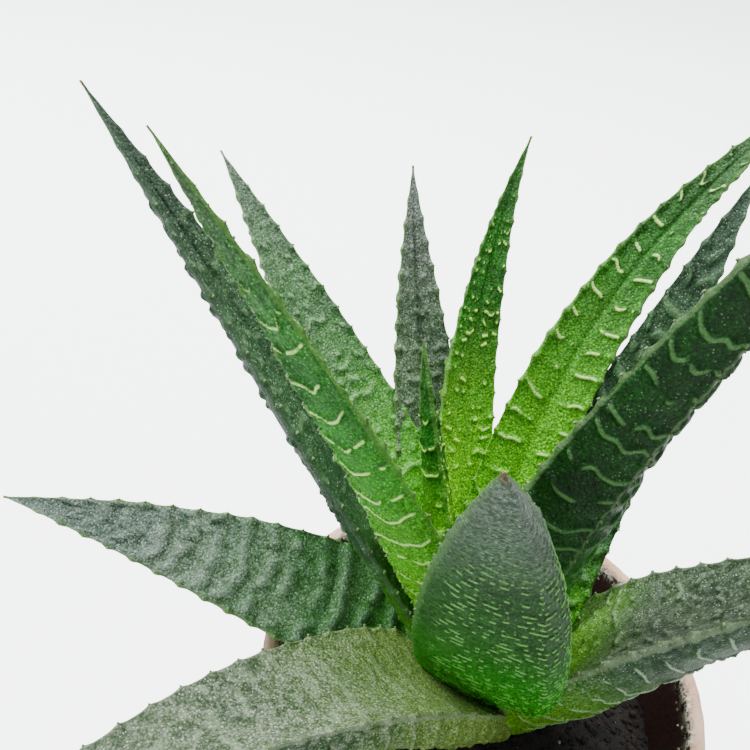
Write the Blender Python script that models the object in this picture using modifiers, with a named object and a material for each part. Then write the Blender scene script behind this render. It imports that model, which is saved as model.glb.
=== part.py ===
"""Potted haworthia: a keeled, tapering rosette on a short stem, in soil in a plain clay pot.

Metres, +Z up. The origin is on the pot's axis, on the flat underside of its foot.
Azimuths are measured from +X towards +Y, so -90 degrees is the front.
"""

from dataclasses import dataclass, replace
from math import cos, hypot, pi, radians, sin

import bmesh
import bpy
from mathutils import Vector

NAME = "potted_haworthia"
MM = 0.001

# Driving dimensions.
GAP = 0.3 * MM  # left between pieces that touch
POT_RIM_RADIUS = 35 * MM
POT_FOOT_RADIUS = 25 * MM
POT_HEIGHT = 62 * MM
POT_WALL = 2.8 * MM
POT_FLOOR = 4 * MM
POT_FOOT_ROUNDING = 1.5 * MM
DRAIN_HOLE_RADIUS = 2.5 * MM
DRAIN_HOLE_CIRCLE = 11 * MM
DRAIN_HOLES = 3
SOIL_BELOW_RIM = 12 * MM  # at the wall
SOIL_CROWN = 1.5 * MM  # how much higher the soil stands in the middle
CROWN_OFFSET = (4 * MM, 1 * MM)  # where the stem leaves the soil
CROWN_LEAN = Vector((-0.42, 0.05, 1)).normalized()  # the rosette leans to the left
STEM_HEIGHT = 20 * MM  # along the lean, above the soil
STEM_DEPTH = 9 * MM  # along the lean, in the soil
STEM_RADIUS = 3.6 * MM  # at the soil
STEM_TIP_RADIUS = 1.2 * MM
LEAF_SCALE = 1.0  # every leaf's length
LEAF_BREADTH = 1.0  # every leaf's width and thickness
LEAF_ROOTING = 1.0 * MM  # how far a leaf's base starts inside the stem's surface
TIP_RADIUS = 0.2 * MM

# How finely the round pieces and the leaves are divided.
POT_STEPS = 56
STEM_STEPS = 20
LEAF_RINGS = 15
SPINE_STEPS = 8  # of the spine's sum, to each ring
RAISE_STEP = 0.5  # degrees that a leaf which strikes the pot's lip is raised by at a time
RAISE_STEPS = 120
RIM_SAMPLES = 8  # places tested between two rings


@dataclass(frozen=True)
class Leaf:
    """One leaf's growth: angles in degrees, sizes in millimetres."""

    name: str
    height: float  # up the stem, from the soil
    azimuth: float  # of the middle of the leaf
    rise: float  # above level, of the middle of the leaf
    length: float
    width: float
    thickness: float
    arch: float = 0  # how much less it rises at its tip than at its base
    sway: float = 0  # how much its azimuth grows from base to tip
    turn: float = 0  # about its own length
    shift: float = 0  # of the keel to one side, as a share of half the width
    taper: float = 1  # below 1 keeps the leaf broad further towards its tip


# From the heart of the rosette outwards, so that each leaf lies outside those before it.
LEAVES = [
    Leaf("leaf_heart_smallest", 20, 185, 78, 14, 6, 3),
    Leaf("leaf_heart_small", 19, -60, 80, 20, 7, 4),
    Leaf("leaf_heart_young", 18, 137, 66, 46, 10, 5, turn=40),
    Leaf("leaf_heart_tall", 17, 91, 52, 79, 12, 6, arch=8, sway=-47, turn=20),
    Leaf("leaf_right_curved", 15, 49, 54, 100, 13.5, 6, arch=24, sway=-75, turn=19),
    Leaf("leaf_back", 13, 114, 51, 77, 17, 6, arch=-14, sway=-15, turn=3),
    Leaf("leaf_back_left", 14, 140, 41, 88, 18.5, 6, arch=15, sway=-9, turn=-7),
    Leaf("leaf_left_barred", 12, -161, 61.5, 93, 18, 6, arch=12, sway=-9, turn=18),
    Leaf("leaf_right_dark", 11, -36.5, 76, 107.5, 17, 7, arch=25, sway=7, turn=-35),
    Leaf("leaf_left_long", 6, 169, 53, 103, 16, 7, arch=10, sway=-12, turn=-3),
    Leaf("leaf_low_back_right", 7, 88, 22, 42, 13, 6, arch=20),
    Leaf("leaf_low_left", 5, 178, 17, 81, 21.5, 9, arch=30, sway=-3, turn=-25),
    Leaf(
        "leaf_front", 5, -114, 63, 87, 21.5, 9, arch=12, sway=14, turn=33, shift=-0.66, taper=0.8
    ),
    Leaf("leaf_right_grey", 4, 52, 65, 88, 17, 6, arch=10, sway=-8, turn=7),
    Leaf("leaf_low_right", 3, -18, 49, 80, 23, 12, arch=45, sway=1, turn=-12),
    Leaf("leaf_low_front_left", 2, -144, 14, 94, 21, 8, arch=80, sway=9, turn=14, shift=-0.6),
    Leaf("leaf_low_back", 4, 108, 20, 58, 15, 6, arch=30),
]

SOIL_LEVEL = POT_HEIGHT - SOIL_BELOW_RIM
CROWN = Vector((CROWN_OFFSET[0], CROWN_OFFSET[1], SOIL_LEVEL + SOIL_CROWN))


def clear_scene():
    for obj in list(bpy.data.objects):
        bpy.data.objects.remove(obj, do_unlink=True)


def new_collection(name, parent):
    collection = bpy.data.collections.new(name)
    parent.children.link(collection)
    return collection


def material(name, colour, roughness):
    made = bpy.data.materials.new(name)
    made.use_nodes = True
    shader = made.node_tree.nodes["Principled BSDF"]
    shader.inputs["Base Color"].default_value = (*colour, 1)
    shader.inputs["Roughness"].default_value = roughness
    shader.inputs["Metallic"].default_value = 0
    made.diffuse_color = (*colour, 1)
    return made


def add_object(name, mesh, collection, finish):
    obj = bpy.data.objects.new(name, mesh)
    collection.objects.link(obj)
    obj.data.materials.append(finish)
    mesh.shade_smooth()
    mesh.set_sharp_from_angle(angle=radians(40))
    return obj


def applied(obj):
    """The object's modifiers made part of its mesh."""
    bpy.context.view_layer.update()
    evaluated = obj.evaluated_get(bpy.context.evaluated_depsgraph_get())
    mesh = bpy.data.meshes.new_from_object(evaluated)
    obj.modifiers.clear()
    old = obj.data
    obj.data = mesh
    bpy.data.meshes.remove(old)
    return obj


def arc(centre, radius, start, end, steps):
    """Points of an arc in the XZ plane, from one angle to another in degrees."""
    angles = [radians(start + (end - start) * i / steps) for i in range(steps + 1)]
    return [(centre[0] + radius * cos(a), centre[1] + radius * sin(a)) for a in angles]


def turned(name, profile, steps, collection, finish):
    """A solid turned about Z from (radius, height) points that run down its outer side."""
    mesh = bpy.data.meshes.new(name)
    edges = [(i, i + 1) for i in range(len(profile) - 1)]
    mesh.from_pydata([(r, 0, z) for r, z in profile], edges, [])
    obj = add_object(name, mesh, collection, finish)
    screw = obj.modifiers.new("turn", "SCREW")
    screw.steps = screw.render_steps = steps
    screw.use_merge_vertices = True
    screw.merge_threshold = 0.00005
    return applied(obj)


def islands(mesh_data):
    """The faces of each separate shell of a bmesh."""
    unseen = set(mesh_data.faces)
    while unseen:
        stack = [unseen.pop()]
        shell = set(stack)
        while stack:
            for edge in stack.pop().edges:
                for face in edge.link_faces:
                    if face in unseen:
                        unseen.discard(face)
                        shell.add(face)
                        stack.append(face)
        yield shell


def keep_main_body(obj):
    """Drops the slivers that a cut has left loose beside the piece."""
    shape = bmesh.new()
    shape.from_mesh(obj.data)
    bmesh.ops.remove_doubles(shape, verts=shape.verts, dist=0.00001)
    shells = sorted(islands(shape), key=lambda shell: sum(f.calc_area() for f in shell))
    loose = [face for shell in shells[:-1] for face in shell]
    bmesh.ops.delete(shape, geom=loose, context="FACES")
    bmesh.ops.triangulate(shape, faces=shape.faces)
    shape.to_mesh(obj.data)
    shape.free()


def boxes_meet(a, b):
    corners = [[v.co for v in obj.data.vertices] for obj in (a, b)]
    low = [[min(c[i] for c in cs) for i in range(3)] for cs in corners]
    high = [[max(c[i] for c in cs) for i in range(3)] for cs in corners]
    return all(low[0][i] < high[1][i] and low[1][i] < high[0][i] for i in range(3))


def cut(obj, cutters):
    """Takes the cutters that reach the piece out of it."""
    for cutter in cutters:
        if boxes_meet(obj, cutter):
            modifier = obj.modifiers.new("clear_" + cutter.name, "BOOLEAN")
            modifier.operation = "DIFFERENCE"
            modifier.solver = "EXACT"
            modifier.object = cutter
    if obj.modifiers:
        applied(obj)
        keep_main_body(obj)
    return obj


def pot_profile():
    """The wall leans out evenly from foot to rim and ends in a round lip."""
    lip = POT_WALL / 2
    lean = (POT_RIM_RADIUS - POT_FOOT_RADIUS) / POT_HEIGHT
    inner_floor_radius = POT_FOOT_RADIUS + POT_FLOOR * lean - POT_WALL
    foot = POT_FOOT_ROUNDING
    profile = [(0, POT_FLOOR)]
    profile += arc(
        (inner_floor_radius - foot, POT_FLOOR + foot), foot, -90, 0, 3
    )
    profile += arc((POT_RIM_RADIUS - lip, POT_HEIGHT - lip), lip, 180, 0, 8)
    profile += arc((POT_FOOT_RADIUS - foot, foot), foot, 0, -90, 3)
    return profile + [(0, 0)]


def inner_radius(height):
    """The radius of the pot's inner wall at a height."""
    lean = (POT_RIM_RADIUS - POT_FOOT_RADIUS) / POT_HEIGHT
    floor_radius = POT_FOOT_RADIUS + POT_FLOOR * lean - POT_WALL
    top, bottom = POT_HEIGHT - POT_WALL / 2, POT_FLOOR + POT_FOOT_ROUNDING
    share = (height - bottom) / (top - bottom)
    return floor_radius + (POT_RIM_RADIUS - POT_WALL - floor_radius) * share


def cylinder_mesh(name, radius, depth, place, segments):
    shape = bmesh.new()
    bmesh.ops.create_cone(
        shape,
        cap_ends=True,
        segments=segments,
        radius1=radius,
        radius2=radius,
        depth=depth,
    )
    bmesh.ops.translate(shape, verts=shape.verts, vec=place)
    mesh = bpy.data.meshes.new(name)
    shape.to_mesh(mesh)
    shape.free()
    return mesh


def helper(name, mesh, collection):
    """A cutter: it has a place in the scene, but it is no piece of the object."""
    obj = bpy.data.objects.new(name, mesh)
    collection.objects.link(obj)
    obj.hide_render = True
    obj.display_type = "WIRE"
    return obj


def make_pot(collection, cutters):
    clay = material("terracotta", (0.62, 0.42, 0.30), 0.9)
    pot = turned("pot", pot_profile(), POT_STEPS, collection, clay)
    holes = []
    for i in range(DRAIN_HOLES):
        angle = 2 * pi * i / DRAIN_HOLES
        place = (DRAIN_HOLE_CIRCLE * cos(angle), DRAIN_HOLE_CIRCLE * sin(angle), 0)
        mesh = cylinder_mesh("drain_hole", DRAIN_HOLE_RADIUS, 3 * POT_FLOOR, place, 16)
        holes.append(helper(f"drain_hole_{i + 1}", mesh, cutters))
    return cut(pot, holes)


def soil_profile():
    """Fills the pot from its floor, with a low rise in the middle."""
    floor = POT_FLOOR + GAP
    rounding = POT_FOOT_ROUNDING
    profile = [(0, SOIL_LEVEL + SOIL_CROWN)]
    wall = inner_radius(SOIL_LEVEL) - GAP
    for i in range(1, 5):
        share = i / 4
        rise = SOIL_CROWN * (1 + cos(pi * share)) / 2
        profile.append((wall * share, SOIL_LEVEL + rise))
    low = inner_radius(floor + rounding) - GAP
    profile += arc((low - rounding, floor + rounding), rounding, 0, -90, 3)
    return profile + [(0, floor)]


def stem_mesh(grow):
    """A tapered core along the crown's lean, with `grow` added all round for a cutter."""
    shape = bmesh.new()
    length = STEM_HEIGHT + STEM_DEPTH
    taper = (STEM_RADIUS - STEM_TIP_RADIUS) / STEM_HEIGHT
    bmesh.ops.create_cone(
        shape,
        cap_ends=True,
        segments=STEM_STEPS,
        radius1=STEM_RADIUS + grow,
        radius2=STEM_TIP_RADIUS + grow,
        depth=length + 2 * grow,
    )
    middle = CROWN + CROWN_LEAN * (STEM_HEIGHT - STEM_DEPTH) / 2
    turn = Vector((0, 0, 1)).rotation_difference(CROWN_LEAN).to_matrix()
    for vert in shape.verts:
        vert.co = turn @ vert.co + middle
    mesh = bpy.data.meshes.new("stem")
    shape.to_mesh(mesh)
    shape.free()
    return mesh


def stem_radius(height):
    """The stem's radius at a height along the lean above the soil."""
    share = (height + STEM_DEPTH) / (STEM_HEIGHT + STEM_DEPTH)
    return STEM_RADIUS + (STEM_TIP_RADIUS - STEM_RADIUS) * share


def direction(azimuth, rise):
    a, r = radians(azimuth), radians(rise)
    return Vector((cos(r) * cos(a), cos(r) * sin(a), sin(r)))


def heading(leaf, share):
    """The leaf's azimuth and rise at a share of its length."""
    return leaf.azimuth + leaf.sway * (share - 0.5), leaf.rise + leaf.arch * (0.5 - share)


def leaf_frames(leaf):
    """(share of length, point, across, up) at each ring along the leaf's curved spine."""
    outward = direction(heading(leaf, 0)[0], 0)
    start = stem_radius(leaf.height * MM) - LEAF_ROOTING
    point = CROWN + CROWN_LEAN * leaf.height * MM + outward * start
    steps = LEAF_RINGS * SPINE_STEPS
    step = leaf.length * MM * LEAF_SCALE / steps
    turn = radians(leaf.turn)
    frames = []
    for i in range(steps + 1):
        share = i / steps
        if i % SPINE_STEPS == 0:
            azimuth, rise = heading(leaf, share)
            along = direction(azimuth, rise)
            up = direction(azimuth, rise + 90)
            side = along.cross(up)
            across = side * cos(turn) - up * sin(turn)
            frames.append((share, point.copy(), across, up * cos(turn) + side * sin(turn)))
        point += direction(*heading(leaf, (i + 0.5) / steps)) * step
    return frames


def leaf_section(leaf, share, grow):
    """Points round the leaf, across and up: a dished inner face and a keeled back."""
    fullness = max(sin(pi / 2 * (1 - share)), 0) ** leaf.taper
    base = min(share / 0.2, 1)
    shoulder = 0.8 + 0.2 * base * base * (3 - 2 * base)
    half = leaf.width * MM * LEAF_BREADTH / 2 * fullness * shoulder
    keel = leaf.thickness * MM * LEAF_BREADTH * fullness**0.8 * shoulder
    half, keel = max(half, TIP_RADIUS), max(keel, TIP_RADIUS)
    dish = 0.16 * half
    half, keel = half + grow, keel + grow
    outline = [(-1, 0), (-0.5, -0.75), (0, -1), (0.5, -0.75), (1, 0)]
    face = [(x * half, y * dish + grow * (1 - 0.8 * x**4)) for x, y in outline]
    outline = [(0.78, 0.42), (0.42, 0.8), (0, 1), (-0.42, 0.8), (-0.78, 0.42)]
    back = [((x + leaf.shift * (1 - x * x)) * half, -y * keel) for x, y in outline]
    return face + back


def rings_of(leaf, grow):
    """The leaf's sections as rings of points, from its base to its tip."""
    frames = leaf_frames(leaf)
    last = len(frames) - 1
    rings = []
    for i, (share, point, across, up) in enumerate(frames):
        push = up.cross(across) * (-grow if i == 0 else grow if i == last else 0)
        section = leaf_section(leaf, share, grow)
        rings.append([point + push + across * x + up * y for x, y in section])
    return rings


def over_the_rim(leaf):
    """The leaf, raised only as far as it takes to pass over the pot's lip."""
    for _ in range(RAISE_STEPS):
        rings = rings_of(leaf, GAP)
        strikes = False
        for lower, upper in zip(rings, rings[1:]):
            for a, b in zip(lower, upper):
                for i in range(RIM_SAMPLES):
                    place = a.lerp(b, i / RIM_SAMPLES)
                    reach = hypot(place.x, place.y)
                    on_wall = inner_radius(place.z) < reach < POT_RIM_RADIUS
                    strikes = strikes or on_wall and place.z < POT_HEIGHT
        if not strikes:
            break
        leaf = replace(leaf, rise=leaf.rise + RAISE_STEP)
    return leaf


def leaf_mesh(leaf, grow=0.0):
    """The leaf's closed skin, lofted through its sections, with `grow` added for a cutter."""
    shape = bmesh.new()
    rings = [[shape.verts.new(place) for place in ring] for ring in rings_of(leaf, grow)]
    for lower, upper in zip(rings, rings[1:]):
        for j in range(len(lower)):
            k = (j + 1) % len(lower)
            shape.faces.new((lower[j], lower[k], upper[k], upper[j]))
    shape.faces.new(rings[0][::-1])
    shape.faces.new(rings[-1])
    mesh = bpy.data.meshes.new(leaf.name)
    shape.to_mesh(mesh)
    shape.free()
    return mesh


def leaf_colour(leaf):
    """Young leaves are a fresh green, and old low ones a greyer green."""
    age = 1 - leaf.height / STEM_HEIGHT * MM
    fresh, old = Vector((0.10, 0.30, 0.04)), Vector((0.12, 0.17, 0.12))
    return tuple(fresh.lerp(old, age))


def make_leaves(collection, cutters, stem_cutter):
    """Each leaf presses against the stem and the leaves inside it, a gap away."""
    inner = [stem_cutter]
    for leaf in map(over_the_rim, LEAVES):
        finish = material(leaf.name, leaf_colour(leaf), 0.5)
        piece = add_object(leaf.name, leaf_mesh(leaf), collection, finish)
        cut(piece, inner)
        inner.append(helper("clear_" + leaf.name, leaf_mesh(leaf, GAP), cutters))
    return inner


def main():
    clear_scene()
    scene = bpy.context.scene.collection
    parts = new_collection(NAME, scene)
    cutters = new_collection("cutters", scene)
    make_pot(parts, cutters)
    bark = material("stem", (0.20, 0.16, 0.08), 0.8)
    add_object("stem", stem_mesh(0), parts, bark)
    stem_cutter = helper("clear_stem", stem_mesh(GAP), cutters)
    growth = make_leaves(parts, cutters, stem_cutter)
    earth = material("soil", (0.02, 0.015, 0.012), 1.0)
    soil = turned("soil", soil_profile(), POT_STEPS, parts, earth)
    cut(soil, growth)


main()
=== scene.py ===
"""Looks of the potted haworthia: leaves, stem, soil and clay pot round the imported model."""

import logging
import math
from dataclasses import dataclass, field
from enum import Enum
from typing import Any

import bpy
import numpy as np
from mathutils import Matrix, Vector


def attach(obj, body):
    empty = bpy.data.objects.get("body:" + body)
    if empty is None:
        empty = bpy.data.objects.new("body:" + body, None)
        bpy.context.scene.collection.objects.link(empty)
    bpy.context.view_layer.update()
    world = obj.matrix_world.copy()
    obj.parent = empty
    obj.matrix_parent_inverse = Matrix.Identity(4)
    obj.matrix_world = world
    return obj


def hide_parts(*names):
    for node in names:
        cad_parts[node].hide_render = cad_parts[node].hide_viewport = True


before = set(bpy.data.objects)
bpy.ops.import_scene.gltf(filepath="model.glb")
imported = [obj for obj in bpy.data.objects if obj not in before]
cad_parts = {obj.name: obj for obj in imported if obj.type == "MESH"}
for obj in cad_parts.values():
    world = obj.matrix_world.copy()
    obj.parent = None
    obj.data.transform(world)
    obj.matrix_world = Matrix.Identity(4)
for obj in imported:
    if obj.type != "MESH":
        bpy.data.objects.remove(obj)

LOG = logging.getLogger("haworthia")
MM = 0.001
Colour = tuple[float, float, float]
Place = tuple[float, float, float]
MIX_SHARE, MIX_A, MIX_B, MIX_RESULT = 0, 6, 7, 2  # a Mix node's sockets for colours
RANDOM_LEAST, RANDOM_MOST, RANDOM_VALUE = 2, 3, 1  # a Random Value node's sockets for floats


# ---------------------------------------------------------------- node trees


class Tree:
    """A node tree being built: it adds nodes, fills their sockets and joins them."""

    def __init__(self, tree: bpy.types.NodeTree) -> None:
        """Args:
        tree: the Blender node tree to build in.
        """
        self.tree = tree

    def put(self, socket: bpy.types.NodeSocket, value: Any) -> None:
        """Links a socket to another, or sets its own value.

        Args:
            socket: the input socket.
            value: an output socket to link from, or a plain value.
        """
        if isinstance(value, bpy.types.NodeSocket):
            self.tree.links.new(value, socket)
        else:
            socket.default_value = value

    def fill(self, node: Any, values: dict[Any, Any]) -> None:
        """Fills a node's inputs.

        Args:
            node: the node.
            values: socket name or number to value or output socket.
        """
        for key, value in values.items():
            self.put(node.inputs[key], value)

    def add(self, kind: str, values: dict[Any, Any] | None = None, **settings: Any) -> Any:
        """Adds a node.

        Args:
            kind: the node's Blender type.
            values: socket name or number to value or output socket.
            settings: the node's own properties.

        Returns:
            The new node.
        """
        node = self.tree.nodes.new(kind)
        for name, value in settings.items():
            setattr(node, name, value)
        self.fill(node, values or {})
        return node

    def math(self, operation: str, a: Any, b: Any) -> Any:
        """Adds a Math node.

        Args:
            operation: its operation, such as POWER.
            a: first value or socket.
            b: second value or socket.

        Returns:
            The result's socket.
        """
        return self.add("ShaderNodeMath", {0: a, 1: b}, operation=operation).outputs[0]

    def times(self, a: Any, b: Any) -> Any:
        """The product of two values or sockets."""
        return self.math("MULTIPLY", a, b)

    def plus(self, a: Any, b: Any) -> Any:
        """The sum of two values or sockets."""
        return self.math("ADD", a, b)

    def step(self, value: Any, low: float, high: float, top: float = 1.0) -> Any:
        """Rises smoothly from 0 at low to top at high, and falls where high is below low.

        Args:
            value: the socket read.
            low: where the result is 0.
            high: where the result is top.
            top: the highest result.

        Returns:
            The result's socket.
        """
        values = {"Value": value, "To Min": 0.0, "To Max": top}
        if low < high:
            values |= {"From Min": low, "From Max": high}
        else:
            values |= {"From Min": high, "From Max": low, "To Min": top, "To Max": 0.0}
        node = self.add("ShaderNodeMapRange", values, interpolation_type="SMOOTHSTEP")
        return node.outputs[0]

    def mix(self, share: Any, a: Any, b: Any, blend: str = "MIX") -> Any:
        """Adds a colour mix.

        Args:
            share: how much of b shows.
            a: colour or socket.
            b: colour or socket.
            blend: the blending mode.

        Returns:
            The mixed colour's socket.
        """
        node = self.add("ShaderNodeMix", {MIX_SHARE: share}, data_type="RGBA", blend_type=blend)
        for key, colour in ((MIX_A, a), (MIX_B, b)):
            linked = isinstance(colour, bpy.types.NodeSocket)
            self.put(node.inputs[key], colour if linked else (*colour, 1.0))
        return node.outputs[MIX_RESULT]

    def tinted(self, share: Any, colour: Any, tint: Colour) -> Any:
        """Multiplies a colour by a tint, as far as share says."""
        return self.mix(share, colour, self.mix(1.0, colour, tint, "MULTIPLY"))

    def noise(self, where: Any, grain: float, detail: float = 2.0, rough: float = 0.5) -> Any:
        """Adds a noise texture.

        Args:
            where: the coordinates' socket.
            grain: the size of its lumps in metres.
            detail: how many finer layers it has.
            rough: how strong the finer layers are.

        Returns:
            The noise value's socket.
        """
        values = {"Vector": where, "Scale": 1.0 / grain, "Detail": detail, "Roughness": rough}
        return self.add("ShaderNodeTexNoise", values).outputs["Fac"]

    def cells(self, where: Any, grain: float) -> Any:
        """Adds a cell texture.

        Args:
            where: the coordinates' socket.
            grain: the size of its cells in metres.

        Returns:
            The socket of the distance to the nearest cell's middle.
        """
        node = self.add("ShaderNodeTexVoronoi", {"Vector": where, "Scale": 1.0 / grain})
        return node.outputs["Distance"]

    def attribute(self, name: str) -> Any:
        """The value of a named attribute of the mesh."""
        return self.add("ShaderNodeAttribute", attribute_name=name).outputs["Fac"]


# ------------------------------------------------------------------ finishes


class Finish:
    """A surface that can be made into a Blender material."""

    def start(self, name: str, roughness: float) -> tuple[bpy.types.Material, Tree, Any, Any]:
        """Opens a material.

        Args:
            name: the material's name.
            roughness: its plain roughness.

        Returns:
            The material, its tree, its shader and the Object coordinates' socket.
        """
        made = bpy.data.materials.new(name)
        made.use_nodes = True
        tree = Tree(made.node_tree)
        shader = made.node_tree.nodes["Principled BSDF"]
        shader.inputs["Roughness"].default_value = roughness
        where = tree.add("ShaderNodeTexCoord").outputs["Object"]
        return made, tree, shader, where

    def bump(self, tree: Tree, shader: Any, height: Any, depth: float, strength: float) -> None:
        """Roughens a shader's surface.

        Args:
            tree: the material's tree.
            shader: the Principled shader.
            height: the socket read as height.
            depth: what one unit of height is, in metres.
            strength: how strongly it shows.
        """
        values = {"Height": height, "Distance": depth, "Strength": strength}
        tree.put(shader.inputs["Normal"], tree.add("ShaderNodeBump", values).outputs["Normal"])

    def material(self, name: str) -> bpy.types.Material:
        """Makes the material of that name."""
        raise NotImplementedError


@dataclass(frozen=True)
class LeafFinish(Finish):
    """Waxy, faintly translucent leaf skin, flecked with white."""

    flesh: Colour  # the keeled back
    face: Colour  # the dished inner face
    base: Colour  # where the leaf joins the stem: its own pale yellow-green, brightened as painted glow of light through it
    tip: Colour
    crest: Colour  # the raised welts
    edge: Colour = (0.12, 0.26, 0.05)  # the margins and the keel
    reach: float = 0.35  # how far up the leaf the base colour runs
    greying: float = 0.62  # where the tip's colour starts
    welted: float = 0.9  # how pale the welts are
    face_welted: float = 1.0  # the share of that on the inner face
    flecked: float = 0.5
    dulled: float = 0.2  # how much grey bloom lies on the skin
    bloom: Colour = (0.20, 0.25, 0.22)
    roughness: float = 0.42
    sheen: float = 0.20
    glow: float = 0.04  # how much light passes through the flesh
    glow_depth: float = 1.2 * MM
    glow_tint: Colour = (0.5, 1.0, 0.2)
    dry_tip: Colour = (0.16, 0.085, 0.05)
    fleck: Colour = (0.62, 0.72, 0.60)
    shaded: Colour = (0.55, 0.60, 0.58)  # tints of the broad patches
    sunlit: Colour = (1.30, 1.22, 1.15)
    mottled: Colour = (0.50, 0.58, 0.50)  # tints of the small patches, grains and pores, and the painted glint on the pore centres
    grained: Colour = (0.24, 0.36, 0.24)
    pored: Colour = (0.42, 0.50, 0.42)
    painted_glint: Colour = (2.9, 2.4, 2.9)
    patch_size: float = 8 * MM
    mottle_size: float = 1.5 * MM
    fleck_spread: float = 1.6 * MM
    grain_size: float = 0.32 * MM
    pore_size: float = 0.42 * MM
    depth: float = 0.20 * MM  # of the skin's grain

    def flesh_colour(self, tree: Tree, inner: Any, patches: Any, mottle: Any) -> Any:
        """The skin's colour from base to tip, clouded and dulled by bloom, the base brightened as
        painted glow.

        Args:
            tree: the material's tree.
            inner: the socket that is 1 on the inner face.
            patches: the socket of the broad patches.
            mottle: the socket of the small patches.

        Returns:
            The colour's socket.
        """
        uv = tree.add("ShaderNodeUVMap", uv_map="UVMap").outputs["UV"]
        along = tree.add("ShaderNodeSeparateXYZ", {0: uv}).outputs["Y"]
        lifted = tree.plus(along, tree.times(tree.math("SUBTRACT", patches, 0.5), 0.16))
        colour = tree.mix(inner, self.flesh, self.face)
        shade = tree.mix(tree.step(patches, 0.35, 0.65), self.shaded, self.sunlit)
        colour = tree.mix(0.85, colour, shade, "MULTIPLY")
        colour = tree.tinted(tree.step(mottle, 0.50, 0.38, 0.7), colour, self.mottled)
        bloom = tree.times(tree.step(mottle, 0.42, 0.60), self.dulled)
        colour = tree.mix(bloom, colour, self.bloom)
        # painted glow: the base's pale yellow-green is made brighter to stand in for light shining
        # through it
        colour = tree.mix(tree.step(lifted, self.reach, 0.02), colour, self.base)
        colour = tree.mix(tree.step(lifted, self.greying, 1.0, 0.85), colour, self.tip)
        return tree.mix(tree.step(along, 0.985, 0.998), colour, self.dry_tip)

    def material(self, name: str) -> bpy.types.Material:
        """Makes the leaf's material.

        Args:
            name: the material's name.

        Returns:
            The material. It reads the mesh's UV map and its welt, edge and inner attributes.
        """
        made, tree, shader, where = self.start(name, self.roughness)
        inner = tree.attribute("inner")
        patches = tree.noise(where, self.patch_size, 4)
        mottle = tree.noise(where, self.mottle_size, 4, 0.65)
        grains = tree.noise(where, self.grain_size, 3, 0.7)
        pores = tree.cells(where, self.pore_size)

        colour = self.flesh_colour(tree, inner, patches, mottle)
        colour = tree.tinted(tree.step(grains, 0.55, 0.45, 0.9), colour, self.grained)
        colour = tree.tinted(tree.step(pores, 0.30, 0.62, 0.35), colour, self.pored)
        # painted glints: the pore centres are brightened to stand in for the waxy skin's specular
        # sparkle
        colour = tree.tinted(tree.step(pores, 0.34, 0.14, 0.6), colour, self.painted_glint)
        welt = tree.step(tree.attribute("welt"), 0.45, 0.90)
        crest = tree.times(welt, tree.step(grains, 0.20, 0.48, self.welted))
        kept = tree.plus(1.0, tree.times(inner, self.face_welted - 1.0))
        colour = tree.mix(tree.times(crest, kept), colour, self.crest)
        edge = tree.step(tree.attribute("edge"), 0.45, 0.92)
        rim = tree.times(edge, tree.step(mottle, 0.25, 0.45, 0.5))
        colour = tree.mix(rim, colour, self.edge)
        spread = tree.step(tree.noise(where, self.fleck_spread, 4, 0.7), 0.46, 0.60)
        flecks = tree.times(tree.times(tree.step(pores, 0.26, 0.12), spread), self.flecked)

        rough = tree.plus(self.roughness - 0.10, tree.times(grains, 0.30))
        values = {
            "Base Color": tree.mix(flecks, colour, self.fleck),
            "Roughness": tree.plus(rough, tree.times(flecks, 0.2)),
            "Specular IOR Level": self.sheen,
            "Subsurface Weight": self.glow,
            "Subsurface Radius": self.glow_tint,
            "Subsurface Scale": self.glow_depth,
        }
        tree.fill(shader, values)
        height = grains
        for socket, share in ((pores, 0.7), (mottle, 1.2), (flecks, 0.8)):
            height = tree.plus(height, tree.times(socket, share))
        self.bump(tree, shader, height, self.depth, 0.9)
        return made


@dataclass(frozen=True)
class ToothFinish(Finish):
    """Pale, horny points along the margins and keels."""

    colour: Colour = (0.09, 0.19, 0.04)
    worn: Colour = (0.10, 0.10, 0.04)
    fresh: Colour = (0.20, 0.32, 0.12)

    def material(self, name: str) -> bpy.types.Material:
        """Makes the material of that name."""
        made, tree, shader, where = self.start(name, 0.5)
        patches = tree.noise(where, 4 * MM, 3)
        grains = tree.noise(where, 0.4 * MM, 3)
        colour = tree.mix(tree.step(patches, 0.42, 0.62), self.colour, self.worn)
        colour = tree.mix(tree.step(grains, 0.3, 0.7, 0.4), colour, self.fresh)
        rough = tree.plus(0.35, tree.times(grains, 0.3))
        tree.fill(shader, {"Base Color": colour, "Roughness": rough})
        self.bump(tree, shader, grains, 0.1 * MM, 0.5)
        return made


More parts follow.
